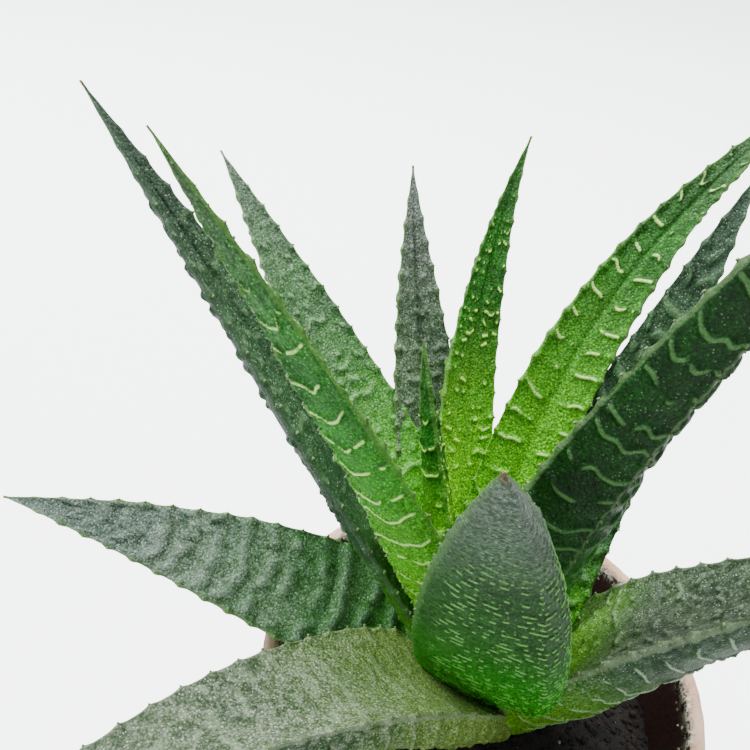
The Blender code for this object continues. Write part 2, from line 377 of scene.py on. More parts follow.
@dataclass(frozen=True)
class ClayFinish(Finish):
    """Unglazed fired clay, wet inside and painted near black there as shade, with pale salts at
    the lip.
    """

    colour: Colour = (0.56, 0.29, 0.17)
    pale: Colour = (0.74, 0.50, 0.36)
    # painted shade: the wet inner wall's colours are near black, standing in for the shade inside
    # the pot
    shaded_damp: Colour = (0.012, 0.004, 0.003)
    shaded_damp_light: Colour = (0.045, 0.014, 0.009)
    salts: Colour = (0.50, 0.48, 0.36)
    salts_light: Colour = (0.72, 0.68, 0.56)
    speck: Colour = (0.16, 0.09, 0.06)
    chalk: Colour = (0.84, 0.66, 0.52)

    def material(self, name: str) -> bpy.types.Material:
        """Makes the clay.

        Args:
            name: the material's name.

        Returns:
            The material. It reads the mesh's inside and salted attributes.
        """
        made, tree, shader, where = self.start(name, 0.9)
        clouds = tree.noise(where, 11 * MM, 5, 0.6)
        grit = tree.noise(where, 0.5 * MM, 4, 0.7)
        flakes = tree.noise(where, 1.7 * MM, 5, 0.75)
        colour = tree.mix(tree.step(clouds, 0.36, 0.64), self.colour, self.pale)
        colour = tree.mix(tree.step(grit, 0.35, 0.7, 0.35), colour, self.chalk)
        pits = tree.step(tree.cells(where, 1.5 * MM), 0.20, 0.09, 0.8)
        pits = tree.times(pits, tree.step(tree.noise(where, 3 * MM, 2), 0.44, 0.60))
        colour = tree.mix(pits, colour, self.speck)
        # painted shade: the wet inner wall goes near black as shade; its wetness also makes it
        # glossier
        uneven = tree.times(tree.math("SUBTRACT", clouds, 0.5), 0.7)
        damp_and_shade = tree.plus(tree.attribute("inside"), uneven)
        wall = tree.mix(tree.step(grit, 0.35, 0.65), self.shaded_damp, self.shaded_damp_light)
        colour = tree.mix(tree.step(damp_and_shade, 0.25, 0.6), colour, wall)
        crust = tree.times(tree.attribute("salted"), tree.step(flakes, 0.45, 0.55))
        salts = tree.mix(tree.step(grit, 0.4, 0.6), self.salts, self.salts_light)
        colour = tree.mix(crust, colour, salts)
        rough = tree.math("SUBTRACT", 0.92, tree.times(tree.step(damp_and_shade, 0.3, 0.7), 0.35))
        tree.fill(shader, {"Base Color": colour, "Roughness": rough})
        height = tree.plus(tree.times(grit, 0.6), tree.times(crust, 1.6))
        height = tree.math("SUBTRACT", height, tree.times(pits, 0.8))
        self.bump(tree, shader, height, 0.35 * MM, 0.8)
        return made


@dataclass(frozen=True)
class EarthFinish(Finish):
    """Loose potting mix or one kind of grain in it."""

    dark: Colour = (0.002, 0.0015, 0.001)
    light: Colour = (0.012, 0.008, 0.006)
    roughness: float = 0.95
    glint: float = 2.2  # how much lighter than the light colour the finest grit is

    def material(self, name: str) -> bpy.types.Material:
        """Makes the material of that name."""
        made, tree, shader, where = self.start(name, self.roughness)
        clods = tree.noise(where, 2.4 * MM, 5, 0.7)
        grit = tree.noise(where, 0.35 * MM, 3, 0.7)
        colour = tree.mix(tree.step(clods, 0.4, 0.66), self.dark, self.light)
        glint = tuple(min(1.0, self.glint * c) for c in self.light)
        colour = tree.mix(tree.step(grit, 0.55, 0.75, 0.4), colour, glint)
        rough = tree.math("SUBTRACT", 1.0, tree.times(grit, 0.3))
        tree.fill(shader, {"Base Color": colour, "Roughness": rough})
        self.bump(tree, shader, tree.plus(clods, grit), 0.5 * MM, 0.9)
        return made


@dataclass(frozen=True)
class FloorFinish(Finish):
    """A plain pale table that shines evenly to the camera."""

    colour: Colour = (0.80, 0.82, 0.82)
    shine: Colour = (0.97, 1.0, 1.0)
    strength: float = 3.1

    def material(self, name: str) -> bpy.types.Material:
        """Makes the material of that name."""
        made, tree, shader, where = self.start(name, 0.85)
        tint = tree.step(tree.noise(where, 0.35, 2), 0.3, 0.7)
        seen = tree.add("ShaderNodeLightPath").outputs["Is Camera Ray"]
        values = {
            "Base Color": tree.mix(tint, self.colour, tuple(c * 0.97 for c in self.colour)),
            "Specular IOR Level": 0.0,
            "Emission Color": (*self.shine, 1.0),
            "Emission Strength": tree.times(seen, self.strength),
        }
        tree.fill(shader, values)
        return made


# ---------------------------------------------------------------- mesh helpers


def fade(value: np.ndarray, low: float, high: float) -> np.ndarray:
    """A smooth step from 0 at low to 1 at high.

    Args:
        value: the values read.
        low: where the step starts.
        high: where it ends; it may be below low.

    Returns:
        The step at each value.
    """
    share = np.clip((value - low) / (high - low), 0, 1)
    return share * share * (3 - 2 * share)


def lumps(
    rng: np.random.Generator, u: np.ndarray, v: np.ndarray, cells: tuple[int, int]
) -> np.ndarray:
    """Smooth random values from -1 to 1 over a patch.

    Args:
        rng: the seeded generator.
        u: places across, 0 to 1.
        v: places along, 0 to 1.
        cells: how many lumps lie across and along.

    Returns:
        The value at each place.
    """
    table = rng.uniform(-1, 1, (cells[0] + 2, cells[1] + 2))
    x = np.clip(u, 0, 1) * cells[0]
    y = np.clip(v, 0, 1) * cells[1]
    i, j = np.floor(x).astype(int), np.floor(y).astype(int)
    fx, fy = fade(x - i, 0, 1), fade(y - j, 0, 1)
    low = table[i, j] * (1 - fx) + table[i + 1, j] * fx
    high = table[i, j + 1] * (1 - fx) + table[i + 1, j + 1] * fx
    return low * (1 - fy) + high * fy


def grid_mesh(name: str, points: np.ndarray, closed: bool) -> bpy.types.Mesh:
    """A skin through rows of points, its ends closed by fans to their middles.

    Args:
        name: the mesh's name.
        points: rows of points, rows x columns x 3, in metres.
        closed: whether both ends of the tube get a cap.

    Returns:
        The mesh, with a UV map of column and row shares. Its last vertices are the caps' middles.
    """
    rows, columns = points.shape[:2]
    ring = np.arange(columns)
    follow = (ring + 1) % columns
    start = np.arange(rows - 1)[:, None] * columns
    quads = [start + ring, start + follow, start + columns + follow, start + columns + ring]
    quads = np.stack(quads, -1).reshape(-1, 4)
    u = np.stack([ring, ring + 1, ring + 1, ring], -1) / columns
    uv_u = np.broadcast_to(u, (rows - 1, columns, 4))
    v = (np.arange(rows - 1)[:, None] + np.array([0, 0, 1, 1])) / (rows - 1)
    uv_v = np.broadcast_to(v[:, None, :], (rows - 1, columns, 4))
    uv = np.stack([uv_u, uv_v], -1).reshape(-1, 2)
    places = points.reshape(-1, 3)
    corners = [quads.reshape(-1)]
    sizes = [np.full(len(quads), 4)]
    if closed:
        first, last = len(places), len(places) + 1
        middles = [points[0].mean(0), points[-1].mean(0)]
        places = np.vstack([places, middles])
        top = (rows - 1) * columns
        fans = [np.stack([follow, ring, np.full(columns, first)], -1)]
        fans.append(np.stack([top + ring, top + follow, np.full(columns, last)], -1))
        corners += [fan.reshape(-1) for fan in fans]
        sizes += [np.full(columns, 3)] * 2
        cap = [np.stack([ring + 1, ring, ring], -1), np.stack([ring, ring + 1, ring], -1)]
        cap_u = np.stack(cap) / columns
        cap_v = np.broadcast_to(np.array([0.0, 1.0])[:, None, None], cap_u.shape)
        uv = np.vstack([uv, np.stack([cap_u, cap_v], -1).reshape(-1, 2)])
    corners_all = np.concatenate(corners)
    sizes_all = np.concatenate(sizes)
    starts = np.concatenate([[0], np.cumsum(sizes_all)[:-1]])
    mesh = bpy.data.meshes.new(name)
    mesh.vertices.add(len(places))
    mesh.vertices.foreach_set("co", places.astype(np.float32).ravel())
    mesh.loops.add(len(corners_all))
    mesh.loops.foreach_set("vertex_index", corners_all.astype(np.int32))
    mesh.polygons.add(len(sizes_all))
    mesh.polygons.foreach_set("loop_start", starts.astype(np.int32))
    mesh.update(calc_edges=True)
    layer = mesh.uv_layers.new(name="UVMap")
    layer.data.foreach_set("uv", uv.astype(np.float32).ravel())
    mesh.validate()
    mesh.shade_smooth()
    return mesh


def facing_out(points: np.ndarray) -> np.ndarray:
    """Turns a tube's columns round where its faces would point inwards.

    Args:
        points: rows of points, rows x columns x 3.

    Returns:
        The same points, with the columns reversed if that is needed.
    """
    middle = points.mean(1, keepdims=True)
    across = np.roll(points, -1, 1)[:-1] - points[:-1]
    along = points[1:] - points[:-1]
    normal = np.cross(across, along)
    outward = (normal * (points - middle)[:-1]).sum()
    return points if outward > 0 else points[:, ::-1]


def normals_of(points: np.ndarray) -> np.ndarray:
    """The unit normals of a tube's points, pointing outwards.

    Args:
        points: rows of points, rows x columns x 3, whose faces point outwards.

    Returns:
        A normal for each point.
    """
    across = np.roll(points, -1, 1) - np.roll(points, 1, 1)
    along = np.gradient(points, axis=0)
    normal = np.cross(across, along)
    return normal / np.maximum(np.linalg.norm(normal, axis=-1, keepdims=True), 1e-12)


def set_attribute(mesh: bpy.types.Mesh, name: str, values: np.ndarray) -> None:
    """Stores a number at each point.

    Args:
        mesh: the mesh.
        name: the attribute's name.
        values: one number, or three, for each of its first points; the rest get 0.
    """
    vector = values.ndim == 2
    kind = "FLOAT_VECTOR" if vector else "FLOAT"
    attribute = mesh.attributes.new(name, kind, "POINT")
    full = np.zeros((len(mesh.vertices), 3) if vector else len(mesh.vertices), np.float32)
    full[: len(values)] = values
    attribute.data.foreach_set("vector" if vector else "value", full.ravel())


def add_object(name: str, mesh: bpy.types.Mesh) -> bpy.types.Object:
    """Puts a mesh in the scene at the origin.

    Args:
        name: the object's name.
        mesh: its mesh.

    Returns:
        The object.
    """
    made = bpy.data.objects.new(name, mesh)
    bpy.context.scene.collection.objects.link(made)
    return made


def grown(
    obj: bpy.types.Object, tree: bpy.types.NodeTree, values: dict[str, Any]
) -> bpy.types.Object:
    """Runs a Geometry Nodes tree on an object and keeps the result as its plain mesh.

    Args:
        obj: the object.
        tree: the tree.
        values: the tree's inputs by name.

    Returns:
        The object.
    """
    modifier = obj.modifiers.new(tree.name, "NODES")
    modifier.node_group = tree
    for item in tree.interface.items_tree:
        if item.item_type == "SOCKET" and item.in_out == "INPUT" and item.name in values:
            modifier[item.identifier] = values[item.name]
    return settled(obj)


def settled(obj: bpy.types.Object) -> bpy.types.Object:
    """Makes an object's modifiers part of its mesh."""
    bpy.context.view_layer.update()
    evaluated = obj.evaluated_get(bpy.context.evaluated_depsgraph_get())
    mesh = bpy.data.meshes.new_from_object(evaluated)
    obj.modifiers.clear()
    old = obj.data
    obj.data = mesh
    bpy.data.meshes.remove(old)
    return obj


# ------------------------------------------------------- geometry node trees


class GrowthTree(Tree):
    """A Geometry Nodes tree with named inputs."""

    def __init__(self, name: str, inputs: dict[str, tuple[str, Any]]) -> None:
        """Args:
        name: the tree's name.
        inputs: name to socket type and default, after the geometry.
        """
        super().__init__(bpy.data.node_groups.new(name, "GeometryNodeTree"))
        face = self.tree.interface
        face.new_socket(name="Geometry", in_out="INPUT", socket_type="NodeSocketGeometry")
        face.new_socket(name="Geometry", in_out="OUTPUT", socket_type="NodeSocketGeometry")
        for label, (kind, default) in inputs.items():
            socket = face.new_socket(name=label, in_out="INPUT", socket_type=kind)
            if default is not None:
                socket.default_value = default
        self.given = self.add("NodeGroupInput").outputs
        self.result = self.add("NodeGroupOutput").inputs[0]

    def named(self, name: str, kind: str = "FLOAT") -> Any:
        """The socket of a named attribute."""
        node = self.add("GeometryNodeInputNamedAttribute", {"Name": name}, data_type=kind)
        return node.outputs[0]

    def chance(self, low: Any, high: Any, seed: Any) -> Any:
        """A random number for each point.

        Args:
            low: the least.
            high: the most.
            seed: the seed's value or socket.

        Returns:
            The number's socket.
        """
        values = {RANDOM_LEAST: low, RANDOM_MOST: high, "Seed": seed}
        node = self.add("FunctionNodeRandomValue", values, data_type="FLOAT")
        return node.outputs[RANDOM_VALUE]

    def dressed(self, geometry: Any, material: Any) -> Any:
        """The geometry's socket once it has the material that a socket gives."""
        values = {"Geometry": geometry, "Material": material}
        return self.add("GeometryNodeSetMaterial", values).outputs[0]

    def realised(self, geometry: Any) -> Any:
        """The geometry's socket once its instances are real."""
        return self.add("GeometryNodeRealizeInstances", {"Geometry": geometry}).outputs[0]


SMALLEST_TOOTH = 0.01  # a point whose tooth is smaller carries none
FULL_TURN = 6.28  # radians


def tooth_tree() -> bpy.types.NodeTree:
    """Grows a small horny point at each marked point of a leaf's edges.

    Returns:
        The tree. It reads the attributes tooth, the point's size, and tooth_out, its direction.
    """
    made = GrowthTree(
        "edge_teeth",
        {
            "Tooth Height": ("NodeSocketFloat", 0.6 * MM),
            "Tooth Width": ("NodeSocketFloat", 0.35 * MM),
            "Seed": ("NodeSocketInt", 1),
            "Skin": ("NodeSocketMaterial", None),
            "Horn": ("NodeSocketMaterial", None),
        },
    )
    given = made.given
    marked = made.add(
        "FunctionNodeCompare", {0: made.named("tooth"), 1: SMALLEST_TOOTH}, data_type="FLOAT"
    )
    values = {"Vertices": 7, "Side Segments": 2, "Radius Top": 0.05 * MM}
    values |= {"Radius Bottom": given["Tooth Width"], "Depth": given["Tooth Height"]}
    cone = made.add("GeometryNodeMeshCone", values)
    out = made.named("tooth_out", "FLOAT_VECTOR")
    turn = made.add("FunctionNodeAlignRotationToVector", {"Vector": out}, axis="Z")
    size = made.times(made.named("tooth"), made.chance(0.7, 1.25, given["Seed"]))
    values = {
        "Points": given["Geometry"],
        "Selection": marked.outputs[0],
        "Instance": cone.outputs[0],
        "Rotation": turn.outputs[0],
        "Scale": size,
    }
    teeth = made.realised(made.add("GeometryNodeInstanceOnPoints", values).outputs[0])
    smooth = made.add("GeometryNodeSetShadeSmooth", {"Geometry": teeth})
    joined = made.add("GeometryNodeJoinGeometry")
    made.put(joined.inputs[0], made.dressed(given["Geometry"], given["Skin"]))
    made.put(joined.inputs[0], made.dressed(smooth.outputs[0], given["Horn"]))
    made.put(made.result, made.realised(joined.outputs[0]))
    return made.tree


def grain_tree() -> bpy.types.NodeTree:
    """Scatters small crumbs over a surface, more of them where its attribute crumbs is high.

    Returns:
        The tree.
    """
    made = GrowthTree(
        "crumbs",
        {
            "Density": ("NodeSocketFloat", 1e6),
            "Smallest": ("NodeSocketFloat", 0.2 * MM),
            "Largest": ("NodeSocketFloat", 0.8 * MM),
            "Flatness": ("NodeSocketFloat", 0.7),
            "Seed": ("NodeSocketInt", 1),
            "Finish": ("NodeSocketMaterial", None),
        },
    )
    given = made.given
    density = made.times(made.named("crumbs"), given["Density"])
    values = {"Mesh": given["Geometry"], "Density": density, "Seed": given["Seed"]}
    points = made.add("GeometryNodeDistributePointsOnFaces", values)
    ball = made.add("GeometryNodeMeshIcoSphere", {"Radius": 0.5, "Subdivisions": 1})
    values = {0: (0.0, 0.0, 0.0), 1: (FULL_TURN, FULL_TURN, FULL_TURN)}
    spin = made.add("FunctionNodeRandomValue", values, data_type="FLOAT_VECTOR")
    cubed = made.math("POWER", made.chance(0.0, 1.0, given["Seed"]), 3.0)
    span = made.math("SUBTRACT", given["Largest"], given["Smallest"])
    size = made.plus(given["Smallest"], made.times(cubed, span))
    flat = made.times(size, given["Flatness"])
    values = {
        "Points": points.outputs[0],
        "Instance": ball.outputs[0],
        "Rotation": spin.outputs[0],
        "Scale": made.add("ShaderNodeCombineXYZ", {0: size, 1: size, 2: flat}).outputs[0],
    }
    solid = made.realised(made.add("GeometryNodeInstanceOnPoints", values).outputs[0])
    place = made.add("GeometryNodeInputPosition").outputs[0]
    values = {"Vector": place, "Scale": 1 / (0.5 * MM), "Detail": 1.0}
    noise = made.add("ShaderNodeTexNoise", values).outputs["Color"]
    values = {0: noise, 1: (0.5, 0.5, 0.5)}
    centred = made.add("ShaderNodeVectorMath", values, operation="SUBTRACT").outputs[0]
    values = {0: centred, "Scale": 0.45 * MM}
    worn = made.add("ShaderNodeVectorMath", values, operation="SCALE").outputs[0]
    moved = made.add("GeometryNodeSetPosition", {"Geometry": solid, "Offset": worn})
    values = {"Geometry": moved.outputs[0], "Shade Smooth": False}
    flat_shaded = made.add("GeometryNodeSetShadeSmooth", values).outputs[0]
    made.put(made.result, made.dressed(made.realised(flat_shaded), given["Finish"]))
    return made.tree


# --------------------------------------------------------------------- leaves


@dataclass(frozen=True)
class Relief:
    """Raised welts across a leaf, in millimetres."""

    spacing: float  # from one row to the next
    height: float
    width: float  # of a crest, along the leaf
    bow: float = 1.2  # how far a row's ends lie towards the tip
    broken: float = 0.3  # the share of each row that is missing
    dash: float = 1.6  # length of an unbroken piece
    wander: float = 0.35  # how unevenly the rows lie, in spacings
    start: float = 0.0  # share of the leaf where they begin
    end: float = 0.97
    clear: float = 0.0  # the share of the side's middle that is smooth


class Welts(Enum):
    """The kinds of raised marks that the leaves carry."""

    BARS = Relief(4.3, 0.40, 0.24, bow=1.5, broken=0.22, dash=2.2)
    SPLIT_BARS = Relief(4.3, 0.40, 0.26, bow=1.3, broken=0.25, dash=1.9, clear=0.22)
    LONG_ARCS = Relief(4.4, 0.55, 0.34, bow=1.4, broken=0.20, dash=2.6, wander=0.5)
    DOT_ARCS = Relief(1.75, 0.26, 0.24, bow=4.5, broken=0.50, dash=0.60, wander=0.15)
    RIDGES = Relief(4.4, 0.70, 0.80, bow=2.0, broken=0.22, dash=3.2, wander=0.5)
    BUMPS = Relief(2.8, 0.42, 0.38, bow=0.6, broken=0.62, dash=1.4, wander=0.6)
    BEADS = Relief(1.9, 0.36, 0.26, bow=0.4, broken=0.62, dash=0.8, wander=0.5)
    SPLIT_BEADS = Relief(1.9, 0.36, 0.26, bow=0.4, broken=0.58, dash=0.8, wander=0.5, clear=0.16)
    FAINT = Relief(3.4, 0.16, 0.6, bow=1.0, broken=0.5, dash=2.0, wander=0.6)


class Skins(Enum):
    """The finishes that the leaves carry."""

    FRESH = LeafFinish(
        flesh=(0.018, 0.290, 0.001), face=(0.024, 0.200, 0.002), base=(0.270, 0.920, 0.012),
        tip=(0.060, 0.105, 0.052), crest=(0.62, 0.96, 0.26), reach=0.68, welted=0.95, flecked=0.22,
        dulled=0.08, glow=0.12,
    )
    HEART = LeafFinish(
        flesh=(0.018, 0.220, 0.001), face=(0.018, 0.210, 0.001), base=(0.400, 1.000, 0.020),
        tip=(0.018, 0.110, 0.006), crest=(0.60, 0.98, 0.16), reach=0.68, welted=0.90, flecked=0.12,
        dulled=0.05, glow=0.14,
    )
    PALE = LeafFinish(
        flesh=(0.040, 0.160, 0.018), face=(0.078, 0.235, 0.062), base=(0.230, 0.960, 0.008),
        tip=(0.120, 0.160, 0.125), crest=(0.26, 0.50, 0.22), reach=0.64, welted=0.5, flecked=0.35,
        dulled=0.35, bloom=(0.22, 0.31, 0.23), glow=0.14, edge=(0.20, 0.34, 0.15),
    )
    ASHEN = LeafFinish(
        flesh=(0.070, 0.120, 0.062), face=(0.120, 0.195, 0.110), base=(0.150, 0.420, 0.060),
        tip=(0.290, 0.305, 0.300), crest=(0.32, 0.40, 0.31), reach=0.50, welted=0.4, flecked=0.6,
        dulled=0.45, bloom=(0.25, 0.30, 0.26),
    )
    DUSKY = LeafFinish(
        flesh=(0.004, 0.052, 0.005), face=(0.040, 0.115, 0.040), base=(0.120, 0.520, 0.005),
        tip=(0.050, 0.085, 0.058), crest=(0.14, 0.28, 0.12), reach=0.42, welted=0.4, flecked=0.7,
        dulled=0.20, bloom=(0.10, 0.18, 0.13), edge=(0.07, 0.14, 0.07),
    )
    GREY = LeafFinish(
        flesh=(0.016, 0.075, 0.022), face=(0.038, 0.072, 0.026), base=(0.220, 0.620, 0.008),
        tip=(0.085, 0.105, 0.085), crest=(0.38, 0.54, 0.32), reach=0.42, welted=0.75, flecked=0.7,
        dulled=0.55, bloom=(0.13, 0.17, 0.12), roughness=0.5, edge=(0.20, 0.27, 0.15),
        face_welted=0.25,
    )
    FROSTED = LeafFinish(
        flesh=(0.016, 0.075, 0.020), face=(0.160, 0.210, 0.130), base=(0.360, 0.560, 0.100),
        tip=(0.042, 0.060, 0.040), crest=(0.30, 0.42, 0.24), reach=0.55, welted=0.25, flecked=0.8,
        dulled=0.60, bloom=(0.34, 0.38, 0.30), roughness=0.5, edge=(0.24, 0.31, 0.18),
        greying=0.40,
    )
    SLATE = LeafFinish(
        flesh=(0.006, 0.026, 0.014), face=(0.135, 0.190, 0.140), base=(0.026, 0.210, 0.002),
        tip=(0.120, 0.155, 0.145), crest=(0.30, 0.37, 0.32), reach=0.76, welted=0.15, flecked=0.6,
        dulled=0.55, bloom=(0.24, 0.30, 0.26), roughness=0.48,
    )
    DARK = LeafFinish(
        flesh=(0.002, 0.056, 0.001), face=(0.004, 0.056, 0.001), base=(0.036, 0.420, 0.001),
        tip=(0.008, 0.048, 0.005), crest=(0.130, 0.300, 0.090), reach=0.40, welted=0.50,
        flecked=0.20, dulled=0.08, bloom=(0.03, 0.09, 0.03), roughness=0.36, sheen=0.2,
        edge=(0.12, 0.22, 0.08),
    )
    FRONT = LeafFinish(
        flesh=(0.008, 0.100, 0.001), face=(0.050, 0.110, 0.030), base=(0.030, 0.400, 0.001),
        tip=(0.150, 0.190, 0.155), crest=(0.20, 0.50, 0.10), reach=0.55, welted=0.70, flecked=0.15,
        dulled=0.15, bloom=(0.10, 0.17, 0.10), edge=(0.06, 0.15, 0.03), greying=0.66, sheen=0.12,
    )


@dataclass(frozen=True)
class Leaf:
    """One leaf's growth: angles in degrees, sizes in millimetres."""

    name: str
    slot: str
    height: float  # up the stem, from the soil
    azimuth: float
    rise: float
    length: float
    width: float
    thickness: float
    arch: float = 0.0
    sway: float = 0.0
    turn: float = 0.0
    back: Welts = Welts.BARS
    face: Welts = Welts.BUMPS
    finish: Skins = Skins.FRESH
    whole_back: bool = False  # rows run right across the keel
    keel_shift: float = 0.0  # of the keel, as a share of the half width
    teeth: float = 1.0
    tooth_gap: float = 4.0
    fine: bool = False  # whether its marks are small and need a finer skin
    taper: float = 1.0  # below 1 keeps the leaf's breadth further towards its tip
    groove: float = 0.0  # depth of the crease down the middle of its face, in millimetres


@dataclass
class LeafSkin:
    """The visible skin of one leaf. Its sizes are in millimetres."""

    leaf: Leaf
    crown: Vector  # in metres
    lean: Vector
    stem_radius: float  # where this leaf joins
    seed: int
    rings: int
    back_steps: int
    face_steps: int = 36
    tip_radius: float = 0.2
    rooting: float = 1.0
    dish: float = 0.16  # the face's hollow, as a share of half the width
    shoulder: float = 0.8  # the share of its breadth that the leaf has at the stem
    shoulder_end: float = 0.2  # the share of its length where it is fully broad
    bulge: float = 0.34  # height at each tooth
    bulge_length: float = 0.75
    bulge_reach: float = 0.85
    swing: float = 0.35  # how far each margin's teeth are out of step, in gaps
    lump: float = 0.22  # height of the soft lumps
    lump_gap: float = 9.0
    furrow: float = 0.10  # depth of the line beside each edge
    furrow_place: float = 0.9
    furrow_width: float = 0.5
    edge_width: float = 0.26
    groove_width: float = 0.10  # as a share of half the width
    far: float = 99.0  # a gap to an edge that isn't there

    def heading(self, share: np.ndarray) -> tuple[np.ndarray, np.ndarray]:
        """The leaf's azimuth and rise in radians at shares of its length.

        Args:
            share: places along the leaf, 0 to 1.

        Returns:
            The azimuths and the rises.
        """
        leaf = self.leaf
        azimuth = np.radians(leaf.azimuth + leaf.sway * (share - 0.5))
        return azimuth, np.radians(leaf.rise + leaf.arch * (0.5 - share))

    @staticmethod
    def direction(azimuth: np.ndarray, rise: np.ndarray) -> np.ndarray:
        """Unit vectors that point along headings, in radians."""
        level = np.cos(rise)
        return np.stack([level * np.cos(azimuth), level * np.sin(azimuth), np.sin(rise)], -1)

    def spine(self) -> tuple[np.ndarray, np.ndarray, np.ndarray, np.ndarray]:
        """The leaf's middle line.

        Returns:
            Shares of length, points, directions across and directions up, one row for each ring.
        """
        leaf = self.leaf
        share = np.linspace(0, 1, self.rings)
        between = (share[1:] + share[:-1]) / 2
        step = self.direction(*self.heading(between)) * leaf.length * MM / (self.rings - 1)
        first = self.heading(np.zeros(1))[0]
        outward = self.direction(first, np.zeros(1))[0] * (self.stem_radius - self.rooting) * MM
        start = np.array(self.crown + self.lean * leaf.height * MM) + outward
        points = start + np.vstack([np.zeros(3), np.cumsum(step, 0)])
        azimuth, rise = self.heading(share)
        along = self.direction(azimuth, rise)
        up = self.direction(azimuth, rise + math.pi / 2)
        side = np.cross(along, up)
        turn = math.radians(leaf.turn)
        across = side * math.cos(turn) - up * math.sin(turn)
        return share, points, across, up * math.cos(turn) + side * math.sin(turn)

    def outline(self) -> tuple[np.ndarray, np.ndarray, np.ndarray]:
        """Places round the section.

        Returns:
            How far across each lies, -1 to 1, how deep its back is, 0 to 1, and its face's mark.
        """
        face = np.linspace(-1, 1, self.face_steps, endpoint=False)
        angle = np.linspace(0, math.pi, self.back_steps, endpoint=False)
        back = np.cos(angle)
        x = np.concatenate([face, back])
        on_face = np.concatenate([np.ones(len(face)), np.zeros(len(back))])
        depth = (1 - np.abs(np.clip(x, -1, 1)) ** 1.15) ** 0.55
        return x, depth, on_face

    def rows_of(
        self,
        relief: Relief,
        distance: np.ndarray,
        across: np.ndarray,
        breadth: float,
        rng: np.random.Generator,
    ) -> np.ndarray:
        """Crests of the welts on one side of the leaf.

        Args:
            relief: the kind of welt.
            distance: millimetres from the leaf's base at each point.
            across: -1 to 1 over the side.
            breadth: the side's greatest width in millimetres.
            rng: the seeded generator.

        Returns:
            0 to 1 at each point, 1 on a crest.
        """
        count = int(self.leaf.length / relief.spacing) + 6
        cells = max(2, round(breadth / relief.dash))
        keep = rng.random((count, cells + 2))
        shift = rng.uniform(-0.5, 0.5, (count, cells + 2)) + rng.uniform(-0.4, 0.4, (count, 1))
        column = (np.clip(across, -1, 1) * 0.5 + 0.5) * cells
        low = np.floor(column).astype(int)
        share = fade(column - low, 0, 1)
        phase = (distance - relief.bow * across**2) / relief.spacing + 2.5
        row = np.clip(np.floor(phase).astype(int), 0, count - 1)
        moved = shift[row, low] * (1 - share) + shift[row, low + 1] * share
        kept = keep[row, low] * (1 - share) + keep[row, low + 1] * share
        off = (phase - row - 0.5 + moved * relief.wander * 0.8) * relief.spacing
        width = np.where(off > 0, relief.width * 0.75, relief.width * 1.25)
        crest = np.exp(-0.5 * (off / width) ** 2)
        crest = crest * fade(kept, relief.broken - 0.12, relief.broken + 0.14)
        border = fade(np.abs(phase - row - 0.5), 0.5, 0.38)
        ends = fade(np.abs(across), 1.0, 0.86)
        if relief.clear:
            ends = ends * fade(np.abs(across), relief.clear * 0.6, relief.clear * 1.4)
        length = distance / self.leaf.length
        lively = fade(length, relief.start - 0.02, relief.start + 0.05)
        lively = lively * fade(length, relief.end, relief.end - 0.25)
        return crest * border * ends * (0.25 + 0.75 * lively)

    def section(self, share: np.ndarray) -> tuple[np.ndarray, np.ndarray]:
        """The leaf's breadth and depth at shares of its length.

        Args:
            share: places along the leaf, 0 to 1.

        Returns:
            Half the width and the keel's depth at each.
        """
        leaf = self.leaf
        shoulder = self.shoulder + (1 - self.shoulder) * fade(share, 0, self.shoulder_end)
        fullness = np.maximum(np.sin(math.pi / 2 * (1 - share)), 0.0) ** leaf.taper
        half = np.maximum(leaf.width / 2 * fullness * shoulder, self.tip_radius)
        return half, np.maximum(leaf.thickness * fullness**0.8 * shoulder, self.tip_radius)

    def crests(
        self, distance: np.ndarray, sheet: np.ndarray, inner: np.ndarray, rng: np.random.Generator
    ) -> np.ndarray:
        """Crests of the welts all round the leaf.

        Args:
            distance: millimetres from the leaf's base at each point.
            sheet: how far across each point lies, -1 to 1.
            inner: 1 on the face.
            rng: the seeded generator.

        Returns:
            0 to 1 at each point, 1 on a crest.
        """
        leaf = self.leaf
        face = self.rows_of(leaf.face.value, distance, sheet, leaf.width, rng)
        if leaf.whole_back:
            back = self.rows_of(leaf.back.value, distance, sheet, leaf.width * 1.6, rng)
        else:
            flank = np.abs(sheet) * 2 - 1
            left = self.rows_of(leaf.back.value, distance, flank, leaf.width * 0.7, rng)
            right = self.rows_of(leaf.back.value, distance, flank, leaf.width * 0.7, rng)
            back = np.where(sheet < 0, left, right)
        return np.where(inner > 0.5, face, back)

    def build(self) -> bpy.types.Mesh:
        """Makes the skin with its welts and scalloped edges.

        Returns:
            The mesh, with the attributes welt, edge, inner, tooth and tooth_out.
        """
        leaf = self.leaf
        rng = np.random.default_rng(self.seed)
        share, points, across, up = self.spine()
        x, depth, on_face = self.outline()
        half, keel = self.section(share)
        bend = leaf.keel_shift * (1 - x**2) * (1 - on_face)
        sideways = half[:, None] * (x + bend)
        dish = -self.dish * half[:, None] * (1 - x**2)
        inward = np.where(on_face > 0.5, dish, -keel[:, None] * depth)
        moved = across[:, None] * sideways[..., None] + up[:, None] * inward[..., None]
        skin = points[:, None] + moved * MM

        turned = facing_out(skin)
        flipped = turned is not skin
        normal = normals_of(turned)
        if flipped:
            normal = normal[:, ::-1]
        distance = np.repeat((share * leaf.length)[:, None], len(x), 1)
        breadth = np.repeat(half[:, None], len(x), 1)
        sheet = np.repeat(x[None], self.rings, 0)
        inner = np.repeat(on_face[None], self.rings, 0)
        crest = self.crests(distance, sheet, inner, rng)
        tall = np.where(inner > 0.5, leaf.face.value.height, leaf.back.value.height)
        tall = tall * fade(breadth, 0.4, 2.4)

